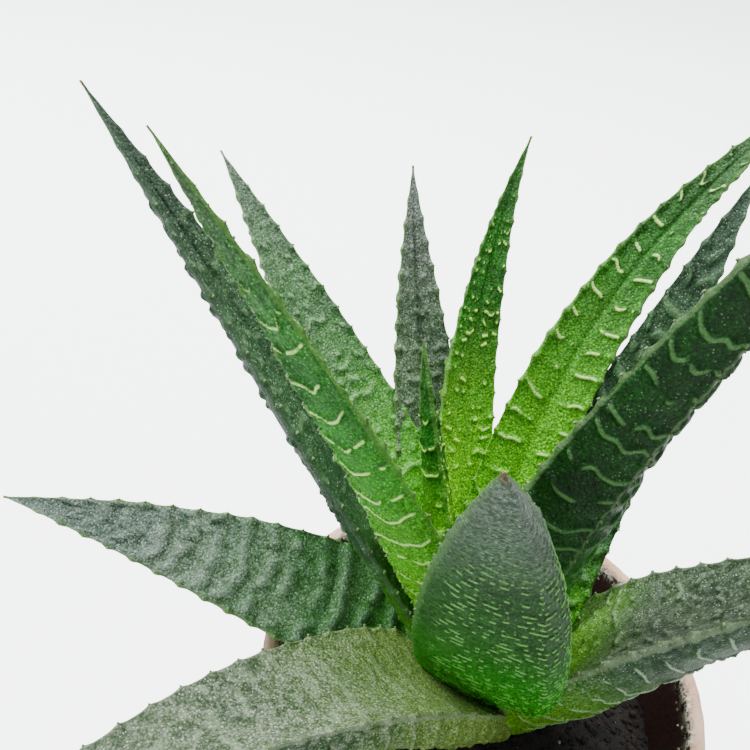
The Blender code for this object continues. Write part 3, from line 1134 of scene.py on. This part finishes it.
        margin_gap = (1 - np.abs(sheet)) * breadth * np.where(inner > 0.5, 1.0, 1.6)
        keel_gap = np.where((inner > 0.5) | leaf.whole_back, self.far, np.abs(sheet) * breadth)
        gap = np.minimum(margin_gap, keel_gap)
        edge = np.exp(-((gap / self.edge_width) ** 2))
        beat = (distance / leaf.tooth_gap + self.swing * np.sign(sheet)) % 1 - 0.5
        beat = np.abs(beat) * leaf.tooth_gap
        bulge = np.exp(-((beat / self.bulge_length) ** 2) - (gap / self.bulge_reach) ** 2)
        active = fade(share, 0.06, 0.2)[:, None] * fade(share, 1.0, 0.85)[:, None] * leaf.teeth
        cells = (4, max(3, int(leaf.length / self.lump_gap)))
        soft = lumps(rng, (sheet + 1) / 2, distance / leaf.length, cells)
        furrow = np.exp(-(((gap - self.furrow_place) / self.furrow_width) ** 2))
        groove = inner * np.exp(-((sheet / self.groove_width) ** 2))
        offset = crest * tall + self.bulge * bulge * active
        offset = offset + self.lump * soft * fade(breadth, 1.0, 4.0)
        offset = offset - self.furrow * furrow * fade(breadth, 1.0, 3.0)
        offset = offset - leaf.groove * groove * fade(breadth, 0.5, 2.5)
        skin = skin + normal * (offset * MM)[..., None]

        marks = {
            "welt": crest * fade(breadth, 0.4, 2.0),
            "edge": edge * fade(share, 0.0, 0.08)[:, None],
            "inner": inner,
        }
        marks["tooth"], marks["tooth_out"] = self.tooth_marks(share, across, up, active)
        if flipped:
            skin = skin[:, ::-1]
            marks = {name: values[:, ::-1] for name, values in marks.items()}
        mesh = grid_mesh(leaf.name, skin, True)
        for name, values in marks.items():
            set_attribute(mesh, name, values.reshape(-1, *values.shape[2:]))
        return mesh

    def tooth_marks(
        self, share: np.ndarray, across: np.ndarray, up: np.ndarray, active: np.ndarray
    ) -> tuple[np.ndarray, np.ndarray]:
        """Marks the points of the margins and the keel that carry a tooth.

        Args:
            share: each ring's place along the leaf.
            across: each ring's direction across.
            up: each ring's direction up.
            active: how strongly each ring is toothed.

        Returns:
            The teeth's sizes and directions at every point of the skin.
        """
        leaf = self.leaf
        edges = {0: -1.0, self.face_steps: 1.0}  # column to side
        if not leaf.whole_back:
            edges[self.face_steps + self.back_steps // 2] = 0.0
        size = np.zeros((self.rings, self.face_steps + self.back_steps))
        out = np.zeros((*size.shape, 3))
        for column, side in edges.items():
            first = 0.5 - self.swing * side
            for i in range(1, int(leaf.length / leaf.tooth_gap) + 1):
                place = (i + first) * leaf.tooth_gap / leaf.length
                if not 0.1 < place < 0.96:
                    continue
                ring = round(place * (self.rings - 1))
                size[ring, column] = active[ring, 0] * (1.1 - 0.5 * share[ring])
                down = 1.0 if side == 0 else 0.12
                out[ring, column] = across[ring] * side * 0.9 - up[ring] * down
        return size, out


@dataclass
class Rosette:
    """All the leaves and the short stem that they stand on. Millimetres."""

    leaves: list[Leaf]
    crown: Vector = field(default_factory=lambda: Vector((4.0, 1.0, 51.5)) * MM)
    lean: Vector = field(default_factory=lambda: Vector((-0.42, 0.05, 1.0)).normalized())
    stem_height: float = 20.0
    stem_depth: float = 9.0
    stem_radius: float = 3.6
    stem_tip_radius: float = 1.2
    scar_gap: float = 1.6  # from one ring round the stem to the next
    tooth_height: float = 0.45
    tooth_width: float = 0.26
    ring_gap: float = 0.27  # from one ring of a leaf's skin to the next
    fewest_rings: int = 120
    most_rings: int = 380
    fine_rings: int = 430
    back_steps: int = 64
    fine_back_steps: int = 130
    first_seed: int = 100

    def radius_at(self, height: float) -> float:
        """The stem's radius at a height along the lean above the soil, in millimetres."""
        share = (height + self.stem_depth) / (self.stem_height + self.stem_depth)
        return self.stem_radius + (self.stem_tip_radius - self.stem_radius) * share

    def build_stem(self) -> bpy.types.Object:
        """Makes the ringed stem.

        Returns:
            The stem's object.
        """
        rows, columns = 60, 40
        share = np.linspace(0, 1, rows)
        height = -self.stem_depth + share * (self.stem_depth + self.stem_height)
        radius = self.stem_radius + (self.stem_tip_radius - self.stem_radius) * share
        radius = radius * (1 + 0.05 * np.cos(height * 2 * math.pi / self.scar_gap)) - 0.08
        turn = np.linspace(0, 2 * math.pi, columns, endpoint=False)
        quaternion = Vector((0, 0, 1)).rotation_difference(self.lean).to_matrix()
        ring = np.stack([np.cos(turn), np.sin(turn), np.zeros(columns)], -1)
        level = np.stack([np.zeros(rows), np.zeros(rows), height], -1)
        points = (ring[None] * radius[:, None, None] + level[:, None]) * MM
        points = points @ np.array(quaternion).T + np.array(self.crown)
        mesh = grid_mesh("stem_core", facing_out(points), True)
        finish = EarthFinish((0.10, 0.09, 0.03), (0.22, 0.20, 0.08), 0.8)
        mesh.materials.append(finish.material("stem_bark"))
        made = add_object("stem_core", mesh)
        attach(made, "root")
        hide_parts("stem")
        return made

    def build(self) -> None:
        """Makes the stem and every leaf."""
        self.build_stem()
        LOG.info("stem built")
        tree = tooth_tree()
        horn = ToothFinish().material("tooth_horn")
        for number, leaf in enumerate(self.leaves):
            rings = int(leaf.length / self.ring_gap)
            rings = max(self.fewest_rings, min(self.most_rings, rings))
            steps = self.back_steps
            if leaf.fine:
                rings, steps = self.fine_rings, self.fine_back_steps
            stem, seed = self.radius_at(leaf.height), self.first_seed + number
            skin = LeafSkin(leaf, self.crown, self.lean, stem, seed, rings, steps)
            made = add_object(leaf.name + "_skin", skin.build())
            values = {
                "Tooth Height": self.tooth_height * MM,
                "Tooth Width": self.tooth_width * MM,
                "Seed": number,
                "Skin": leaf.finish.value.material(leaf.name + "_skin"),
                "Horn": horn,
            }
            grown(made, tree, values)
            for spare in ("tooth", "tooth_out"):
                made.data.attributes.remove(made.data.attributes[spare])
            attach(made, "root")
            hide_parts(leaf.name)
            LOG.info("%s built, %d faces", made.name, len(made.data.polygons))


# ------------------------------------------------------------- pot and soil


def arc(middle: tuple[float, float], radius: float, degrees: np.ndarray) -> np.ndarray:
    """Points round a middle.

    Args:
        middle: its radius and height.
        radius: how far from it they lie.
        degrees: the angle of each.

    Returns:
        A row of radius and height for each point.
    """
    angle = np.radians(degrees)
    return np.stack([middle[0] + radius * np.cos(angle), middle[1] + radius * np.sin(angle)], -1)


def straight(start: np.ndarray, end: tuple[float, float], count: int) -> np.ndarray:
    """Points on a straight line, without its start.

    Args:
        start: radius and height where it starts.
        end: and where it ends.
        count: how many points it has with its start.

    Returns:
        A row of radius and height for each point.
    """
    return start + (np.array(end) - start) * np.linspace(0, 1, count)[1:, None]


@dataclass(frozen=True)
class Grains:
    """One kind of grain that is strewn over a surface."""

    density: float  # on a square metre
    smallest: float  # in millimetres
    largest: float
    seed: int
    flatness: float = 0.7

    def strew(
        self, over: bpy.types.Object, tree: bpy.types.NodeTree, finish: bpy.types.Material
    ) -> bpy.types.Object:
        """Puts grains where an object's surface was.

        Args:
            over: the object, with its attribute crumbs.
            tree: the crumb tree.
            finish: the grains' material.

        Returns:
            The object.
        """
        values = {
            "Density": self.density,
            "Smallest": self.smallest * MM,
            "Largest": self.largest * MM,
            "Flatness": self.flatness,
            "Seed": self.seed,
            "Finish": finish,
        }
        return grown(over, tree, values)


@dataclass
class ClayPot:
    """The clay pot, with a round lip, drain holes and salts at its inner edge. Millimetres."""

    rim_radius: float = 35.0
    foot_radius: float = 25.0
    height: float = 62.0
    wall: float = 2.8
    floor: float = 4.0
    foot_rounding: float = 1.5
    hole_radius: float = 2.5
    hole_circle: float = 11.0
    holes: int = 3
    steps: int = 288
    middle: float = 0.4  # radius of the small flat at the axis
    salts_from: float = 2.6  # below the rim, where salts begin on the inner wall
    salts_full: float = 1.4

    @property
    def floor_radius(self) -> float:
        """The radius of the inner floor."""
        lean = (self.rim_radius - self.foot_radius) / self.height
        return self.foot_radius + self.floor * lean - self.wall

    def inner_radius(self, height: float) -> float:
        """The radius of the inner wall at a height."""
        top, bottom = self.height - self.wall / 2, self.floor + self.foot_rounding
        grows = self.rim_radius - self.wall - self.floor_radius
        return self.floor_radius + grows * (height - bottom) / (top - bottom)

    def profile(self) -> np.ndarray:
        """The wall's outline from the middle of the inner floor, over the lip, to the underside.

        Returns:
            Radius, height, how far inside it lies and how salty it is, a row for each point.
        """
        lip, foot, top = self.wall / 2, self.foot_rounding, self.height
        inner_foot, outer_foot = self.floor_radius - foot, self.foot_radius - foot
        floor = np.linspace(self.middle, inner_foot, 16)
        low = arc((inner_foot, self.floor + foot), foot, np.linspace(-90, 0, 5))
        wall = straight(low[-1], (self.rim_radius - self.wall, top - lip), 58)
        over = np.linspace(180, 0, 19)[1:]
        rim = arc((self.rim_radius - lip, top - lip), lip, over)
        outer = straight(rim[-1], (self.foot_radius, foot), 60)
        bottom = arc((outer_foot, foot), foot, np.linspace(0, -90, 5)[1:])
        under = np.linspace(outer_foot, self.middle, 16)[1:]
        stretches = (
            (np.column_stack([floor, np.full_like(floor, self.floor)]), 1.0, 0.0),
            (low, 1.0, 0.0),
            (wall, 1.0, fade(wall[:, 1], top - self.salts_from, top - self.salts_full)),
            (rim, fade(over, 118, 165), fade(over, 85, 150)),
            (outer, 0.0, 0.0),
            (bottom, 0.0, 0.0),
            (np.column_stack([under, np.zeros_like(under)]), 0.0, 0.0),
        )
        rows = []
        for places, inside, salty in stretches:
            marks = np.zeros((len(places), 2))
            marks[:, 0], marks[:, 1] = inside, salty
            rows.append(np.hstack([places, marks]))
        return np.vstack(rows)

    def build_body(self) -> bpy.types.Object:
        """Makes the pot's wall and floor.

        Returns:
            The pot's object.
        """
        rng = np.random.default_rng(7)
        outline = self.profile()
        rows = len(outline)
        turn = np.linspace(0, 2 * math.pi, self.steps, endpoint=False)
        u = np.repeat((turn / (2 * math.pi))[None], rows, 0)
        v = np.repeat(np.linspace(0, 1, rows)[:, None], self.steps, 1)
        wrap = np.minimum(u, 1 - u) * 2
        uneven = 0.10 * lumps(rng, wrap, v, (24, 30)) + 0.06 * lumps(rng, wrap, v, (90, 80))
        nibbled = np.clip(lumps(rng, wrap, v, (70, 60)) - 0.25, 0, 1) * outline[:, 3:4] * 0.35
        resting = fade(outline[:, 1], 0.0, 1.0)[:, None]
        radius = outline[:, :1] + (uneven - 0.1) * resting * (outline[:, :1] > 3)
        level = outline[:, 1:2] + (uneven * 0.8 - 0.08 - nibbled) * resting
        points = np.stack([radius * np.cos(turn), radius * np.sin(turn), level], -1) * MM
        inside = np.repeat(outline[:, 2:3], self.steps, 1)
        salted = np.repeat(outline[:, 3:4], self.steps, 1)
        if not self.outward(points):
            points, inside, salted = points[:, ::-1], inside[:, ::-1], salted[:, ::-1]
        mesh = grid_mesh("clay_pot", points, True)
        set_attribute(mesh, "inside", inside.reshape(-1))
        set_attribute(mesh, "salted", salted.reshape(-1))
        mesh.materials.append(ClayFinish().material("fired_clay"))
        made = add_object("clay_pot", mesh)
        self.drill(made)
        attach(made, "root")
        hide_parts("pot")
        return made

    @staticmethod
    def outward(points: np.ndarray) -> bool:
        """Whether the outer wall's faces would point away from the axis.

        Args:
            points: the pot's rows of points.

        Returns:
            True where they do.
        """
        row = len(points) - 40  # on the outer wall
        across = points[row, 1] - points[row, 0]
        along = points[row + 1, 0] - points[row, 0]
        return bool(np.cross(across, along)[:2] @ points[row, 0, :2] > 0)

    def drill(self, pot: bpy.types.Object) -> None:
        """Cuts the drain holes through the floor.

        Args:
            pot: the pot's object.
        """
        drills, steps, past = [], 48, 3.0
        turn = np.linspace(0, 2 * math.pi, steps, endpoint=False)
        circle = np.stack([np.cos(turn), np.sin(turn)], -1) * self.hole_radius * MM
        for i in range(self.holes):
            angle = 2 * math.pi * i / self.holes
            reach = self.hole_circle * MM
            ring = circle + (reach * math.cos(angle), reach * math.sin(angle))
            levels = (-past * MM, (self.floor + past) * MM)
            rows = [np.column_stack([ring, np.full(steps, level)]) for level in levels]
            mesh = grid_mesh(f"drill_{i}", facing_out(np.stack(rows)), True)
            drill = add_object(f"drill_{i}", mesh)
            cut = pot.modifiers.new(f"hole_{i}", "BOOLEAN")
            cut.operation = "DIFFERENCE"
            cut.solver = "EXACT"
            cut.object = drill
            drills.append(drill)
        settled(pot)
        for drill in drills:
            bpy.data.objects.remove(drill, do_unlink=True)

    def build_salts(self, tree: bpy.types.NodeTree) -> bpy.types.Object:
        """Makes the crust of salts on the lip's inner edge.

        Args:
            tree: the crumb tree.

        Returns:
            The crust's object.
        """
        rng = np.random.default_rng(11)
        lip = self.wall / 2
        rows, columns = 14, 400
        turn = np.linspace(0, 2 * math.pi, columns, endpoint=False)
        degrees = np.linspace(205, 100, rows)
        radius = self.rim_radius - lip + lip * np.cos(np.radians(degrees))
        level = self.height - lip + lip * np.sin(np.radians(degrees))
        level = np.where(degrees > 180, self.height - lip - (degrees - 180) * 0.10, level)
        lean = (degrees - 180) * 0.014
        radius = np.where(degrees > 180, self.rim_radius - self.wall - lean, radius)
        rings = np.stack([radius[:, None] * np.cos(turn), radius[:, None] * np.sin(turn)], -1)
        points = np.concatenate([rings, np.repeat(level[:, None, None], columns, 1)], -1) * MM
        mesh = grid_mesh("lip_salts", points, False)
        u = np.repeat((np.minimum(turn, 2 * math.pi - turn) / math.pi)[None], rows, 0)
        v = np.repeat(np.linspace(0, 1, rows)[:, None], columns, 1)
        patchy = lumps(rng, u, v, (46, 3)) * 1.4 + lumps(rng, u, v, (160, 6)) * 0.8
        patchy = np.clip(patchy, 0, 1) * fade(v, 1.0, 0.55)
        set_attribute(mesh, "crumbs", patchy.reshape(-1))
        made = add_object("lip_salts", mesh)
        finish = EarthFinish((0.30, 0.27, 0.19), (0.66, 0.62, 0.50), 0.9).material("salts")
        Grains(2.6e6, 0.22, 0.85, 3, flatness=0.6).strew(made, tree, finish)
        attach(made, "root")
        return made


@dataclass
class PottingSoil:
    """Dark, crumbly soil that fills the pot to below its lip. Millimetres."""

    pot: ClayPot
    below_rim: float = 12.0
    crown: float = 1.5
    gap: float = 0.3
    rows: int = 60
    steps: int = 200
    side_rows: int = 10
    bevel: float = 1.5  # how far the bed's bottom edge is cut back

    def build_bed(self) -> bpy.types.Object:
        """Makes the lumpy body of soil.

        Returns:
            The soil's object, its top points marked by the attribute crumbs.
        """
        rng = np.random.default_rng(23)
        level = self.pot.height - self.below_rim
        wall = self.pot.inner_radius(level) - self.gap
        share = np.linspace(1, 0.012, self.rows)
        turn = np.linspace(0, 2 * math.pi, self.steps, endpoint=False)
        radius = np.repeat((share * wall)[:, None], self.steps, 1)
        x, y = radius * np.cos(turn), radius * np.sin(turn)
        u, v = (x / wall + 1) / 2, (y / wall + 1) / 2
        height = level + self.crown * (1 + np.cos(math.pi * radius / wall)) / 2
        rough = 0.55 * lumps(rng, u, v, (11, 11)) + 0.35 * lumps(rng, u, v, (28, 28))
        rough = rough + 0.22 * lumps(rng, u, v, (60, 60))
        height = height + rough - 0.2
        low = self.pot.floor + self.gap
        sides = []
        for place in [low, *np.linspace(low + self.bevel, level - 1.2, self.side_rows)]:
            reach = self.pot.inner_radius(max(place, low + self.bevel)) - self.gap
            reach = reach - (self.bevel if place == low else 0.0)
            ring = [np.cos(turn) * reach, np.sin(turn) * reach, np.full(self.steps, place)]
            sides.append(np.stack(ring, -1))
        top = np.stack([x, y, height], -1)
        points = np.concatenate([np.stack(sides), top]) * MM
        marks = [np.zeros((len(sides), self.steps)), np.ones((self.rows, self.steps))]
        mesh = grid_mesh("soil_bed", points, True)
        set_attribute(mesh, "crumbs", np.concatenate(marks).reshape(-1))
        mesh.materials.append(EarthFinish().material("potting_soil"))
        made = add_object("soil_bed", mesh)
        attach(made, "root")
        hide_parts("soil")
        return made

    def build(self, tree: bpy.types.NodeTree) -> None:
        """Makes the bed and its grains.

        Args:
            tree: the crumb tree.
        """
        bed = self.build_bed()
        kinds = (
            ("crumbs", (0.002, 0.0015, 0.001), (0.011, 0.007, 0.005), Grains(1.5e6, 0.3, 1.7, 5)),
            ("bark", (0.008, 0.004, 0.002), (0.030, 0.014, 0.008), Grains(1.0e5, 0.5, 2.2, 6)),
            ("pale_grains", (0.30, 0.28, 0.24), (0.62, 0.60, 0.54), Grains(2.6e4, 0.3, 1.3, 9)),
        )
        for kind, dark, light, grains in kinds:
            made = add_object("soil_" + kind, bed.data.copy())
            grains.strew(made, tree, EarthFinish(dark, light).material("soil_" + kind))
            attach(made, "root")
            LOG.info("%s built, %d faces", made.name, len(made.data.polygons))


# -------------------------------------------------------------------- studio


@dataclass
class Studio:
    """A pale table, soft lights and the camera."""

    eye: Vector = field(default_factory=lambda: Vector((-0.02295, -0.06936, 0.16333)))
    right: Vector = field(default_factory=lambda: Vector((0.9912, 0.0770, 0.1075)))
    back: Vector = field(default_factory=lambda: Vector((0.0, -0.8131, 0.5821)))
    lens: float = 34.66
    sensor: float = 36.0
    table: float = 12.0  # half its side, in metres
    aim: Vector = field(default_factory=lambda: Vector((0, 0, 0.08)))
    room_tint: Colour = (0.95, 0.98, 1.0)
    room_light: float = 0.65
    backdrop_light: float = 2.9  # how much brighter the camera sees the room

    def camera(self) -> None:
        """Makes the camera and gives it to the scene."""
        data = bpy.data.cameras.new("camera")
        data.lens = self.lens
        data.sensor_width = self.sensor
        data.clip_start = 0.005
        data.clip_end = 50.0
        made = bpy.data.objects.new("camera", data)
        bpy.context.scene.collection.objects.link(made)
        back = self.back.normalized()
        up = back.cross(self.right).normalized()
        right = up.cross(back)
        turn = Matrix((right, up, back)).transposed().to_4x4()
        made.matrix_world = Matrix.Translation(self.eye) @ turn
        bpy.context.scene.camera = made

    def floor(self) -> None:
        """Lays the table."""
        mesh = bpy.data.meshes.new("table")
        side = self.table
        corners = [(-side, -side, 0), (side, -side, 0), (side, side, 0), (-side, side, 0)]
        mesh.from_pydata(corners, [], [(0, 1, 2, 3)])
        mesh.materials.append(FloorFinish().material("table"))
        add_object("table", mesh)

    def lamp(self, name: str, place: Place, size: float, power: float, tint: Colour) -> None:
        """Hangs one soft square light that faces the plant.

        Args:
            name: its name.
            place: where it hangs, in metres.
            size: its side in metres.
            power: in watts.
            tint: its colour.
        """
        data = bpy.data.lights.new(name, "AREA")
        data.size = size
        data.energy = power
        data.color = tint
        made = bpy.data.objects.new(name, data)
        made.location = place
        aim = self.aim - Vector(place)
        made.rotation_mode = "QUATERNION"
        made.rotation_quaternion = aim.to_track_quat("-Z", "Y")
        bpy.context.scene.collection.objects.link(made)

    def sky(self) -> None:
        """Fills the room with even light."""
        world = bpy.data.worlds.new("room")
        bpy.context.scene.world = world
        world.use_nodes = True
        tree = Tree(world.node_tree)
        node = world.node_tree.nodes["Background"]
        node.inputs["Color"].default_value = (*self.room_tint, 1)
        seen = tree.add("ShaderNodeLightPath").outputs["Is Camera Ray"]
        light = tree.plus(self.room_light, tree.times(seen, self.backdrop_light))
        tree.put(node.inputs["Strength"], light)

    def build(self) -> None:
        """Makes the table, lights and room."""
        self.floor()
        self.lamp("window", (-0.70, 0.30, 0.90), 0.6, 24.0, (0.95, 0.98, 1.0))
        self.lamp("ceiling", (0.15, 0.35, 1.0), 0.5, 17.0, (1.0, 0.99, 0.97))
        self.lamp("front", (-0.30, -0.8, 0.5), 0.8, 2.5, (1.0, 0.99, 0.98))
        self.sky()


# ---------------------------------------------------------------------- main

LEAVES = [
    Leaf(
        "leaf_heart_smallest", "leaf_fresh", 20, 185, 78, 14, 6, 3, back=Welts.BEADS,
        face=Welts.BEADS, finish=Skins.HEART, teeth=0.5, tooth_gap=2.6,
    ),
    Leaf(
        "leaf_heart_small", "leaf_fresh", 19, -60, 80, 20, 7, 4, back=Welts.BEADS,
        face=Welts.BEADS, finish=Skins.HEART, teeth=0.5, tooth_gap=2.6,
    ),
    Leaf(
        "leaf_heart_young", "leaf_fresh", 18, 137, 66, 46, 10, 5, turn=40, face=Welts.BEADS,
        finish=Skins.HEART, teeth=0.6,
    ),
    Leaf(
        "leaf_heart_tall", "leaf_fresh", 17, 91, 52, 79, 12, 6, arch=8, sway=-47, turn=20,
        face=Welts.SPLIT_BEADS, finish=Skins.HEART, groove=0.4, teeth=0.7,
    ),
    Leaf(
        "leaf_right_curved", "leaf_fresh", 15, 49, 54, 100, 13.5, 6, arch=24, sway=-75, turn=19,
        face=Welts.SPLIT_BARS, groove=0.3,
    ),
    Leaf(
        "leaf_back", "leaf_grey", 13, 114, 51, 77, 17, 6, arch=-14, sway=-15, turn=3,
        back=Welts.BUMPS, finish=Skins.ASHEN, groove=0.6,
    ),
    Leaf(
        "leaf_back_left", "leaf_grey", 14, 140, 41, 88, 18.5, 6, arch=15, sway=-9, turn=-7,
        back=Welts.BUMPS, finish=Skins.PALE,
    ),
    Leaf(
        "leaf_left_barred", "leaf_fresh", 12, -161, 61.5, 93, 18, 6, arch=12, sway=-9, turn=18,
        face=Welts.BEADS,
    ),
    Leaf(
        "leaf_right_dark", "leaf_dark", 11, -36.5, 76, 107.5, 17, 7, arch=25, sway=7, turn=-35,
        back=Welts.LONG_ARCS, face=Welts.BARS, finish=Skins.DARK,
    ),
    Leaf(
        "leaf_left_long", "leaf_grey", 6, 169, 53, 103, 16, 7, arch=10, sway=-12, turn=-3,
        back=Welts.BUMPS, face=Welts.FAINT, finish=Skins.DUSKY, groove=0.4,
    ),
    Leaf("leaf_low_back_right", "leaf_grey", 7, 88, 22, 42, 13, 6, arch=20, finish=Skins.DUSKY),
    Leaf(
        "leaf_low_left", "leaf_grey", 5, 178, 17, 81, 21.5, 9, arch=30, sway=-3, turn=-25,
        back=Welts.FAINT, face=Welts.RIDGES, finish=Skins.SLATE,
    ),
    Leaf(
        "leaf_front", "leaf_grey", 5, -114, 63, 87, 21.5, 9, arch=12, sway=14, turn=33,
        back=Welts.DOT_ARCS, finish=Skins.FRONT, whole_back=True, keel_shift=-0.66, teeth=0.7,
        fine=True, taper=0.8,
    ),
    Leaf(
        "leaf_right_grey", "leaf_grey", 4, 52, 65, 88, 17, 6, arch=10, sway=-8, turn=7,
        face=Welts.RIDGES, finish=Skins.DUSKY,
    ),
    Leaf(
        "leaf_low_right", "leaf_grey", 3, -18, 49, 80, 23, 12, arch=45, sway=1, turn=-12,
        finish=Skins.GREY,
    ),
    Leaf(
        "leaf_low_front_left", "leaf_grey", 2, -144, 14, 94, 21, 8, arch=80, sway=9, turn=14,
        face=Welts.FAINT, finish=Skins.FROSTED, keel_shift=-0.6,
    ),
    Leaf("leaf_low_back", "leaf_grey", 4, 108, 20, 58, 15, 6, arch=30, finish=Skins.GREY),
]


def corners(box: tuple[Vector, Vector]) -> list[list[float]]:
    """A box's corners as plain lists."""
    return [[float(c) for c in corner] for corner in box]


def main() -> None:
    """Builds the camera, the pot, the soil, the rosette and the studio in order."""
    logging.basicConfig(level=logging.INFO, format="%(name)s: %(message)s")
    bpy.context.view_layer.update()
    studio = Studio()
    studio.camera()
    crumbs = grain_tree()
    pot = ClayPot()
    pot.build_body()
    pot.build_salts(crumbs)
    LOG.info("pot built")
    PottingSoil(pot).build(crumbs)
    Rosette(LEAVES).build()
    studio.build()
    LOG.info("all pieces built")


if __name__ == "__main__":
    main()
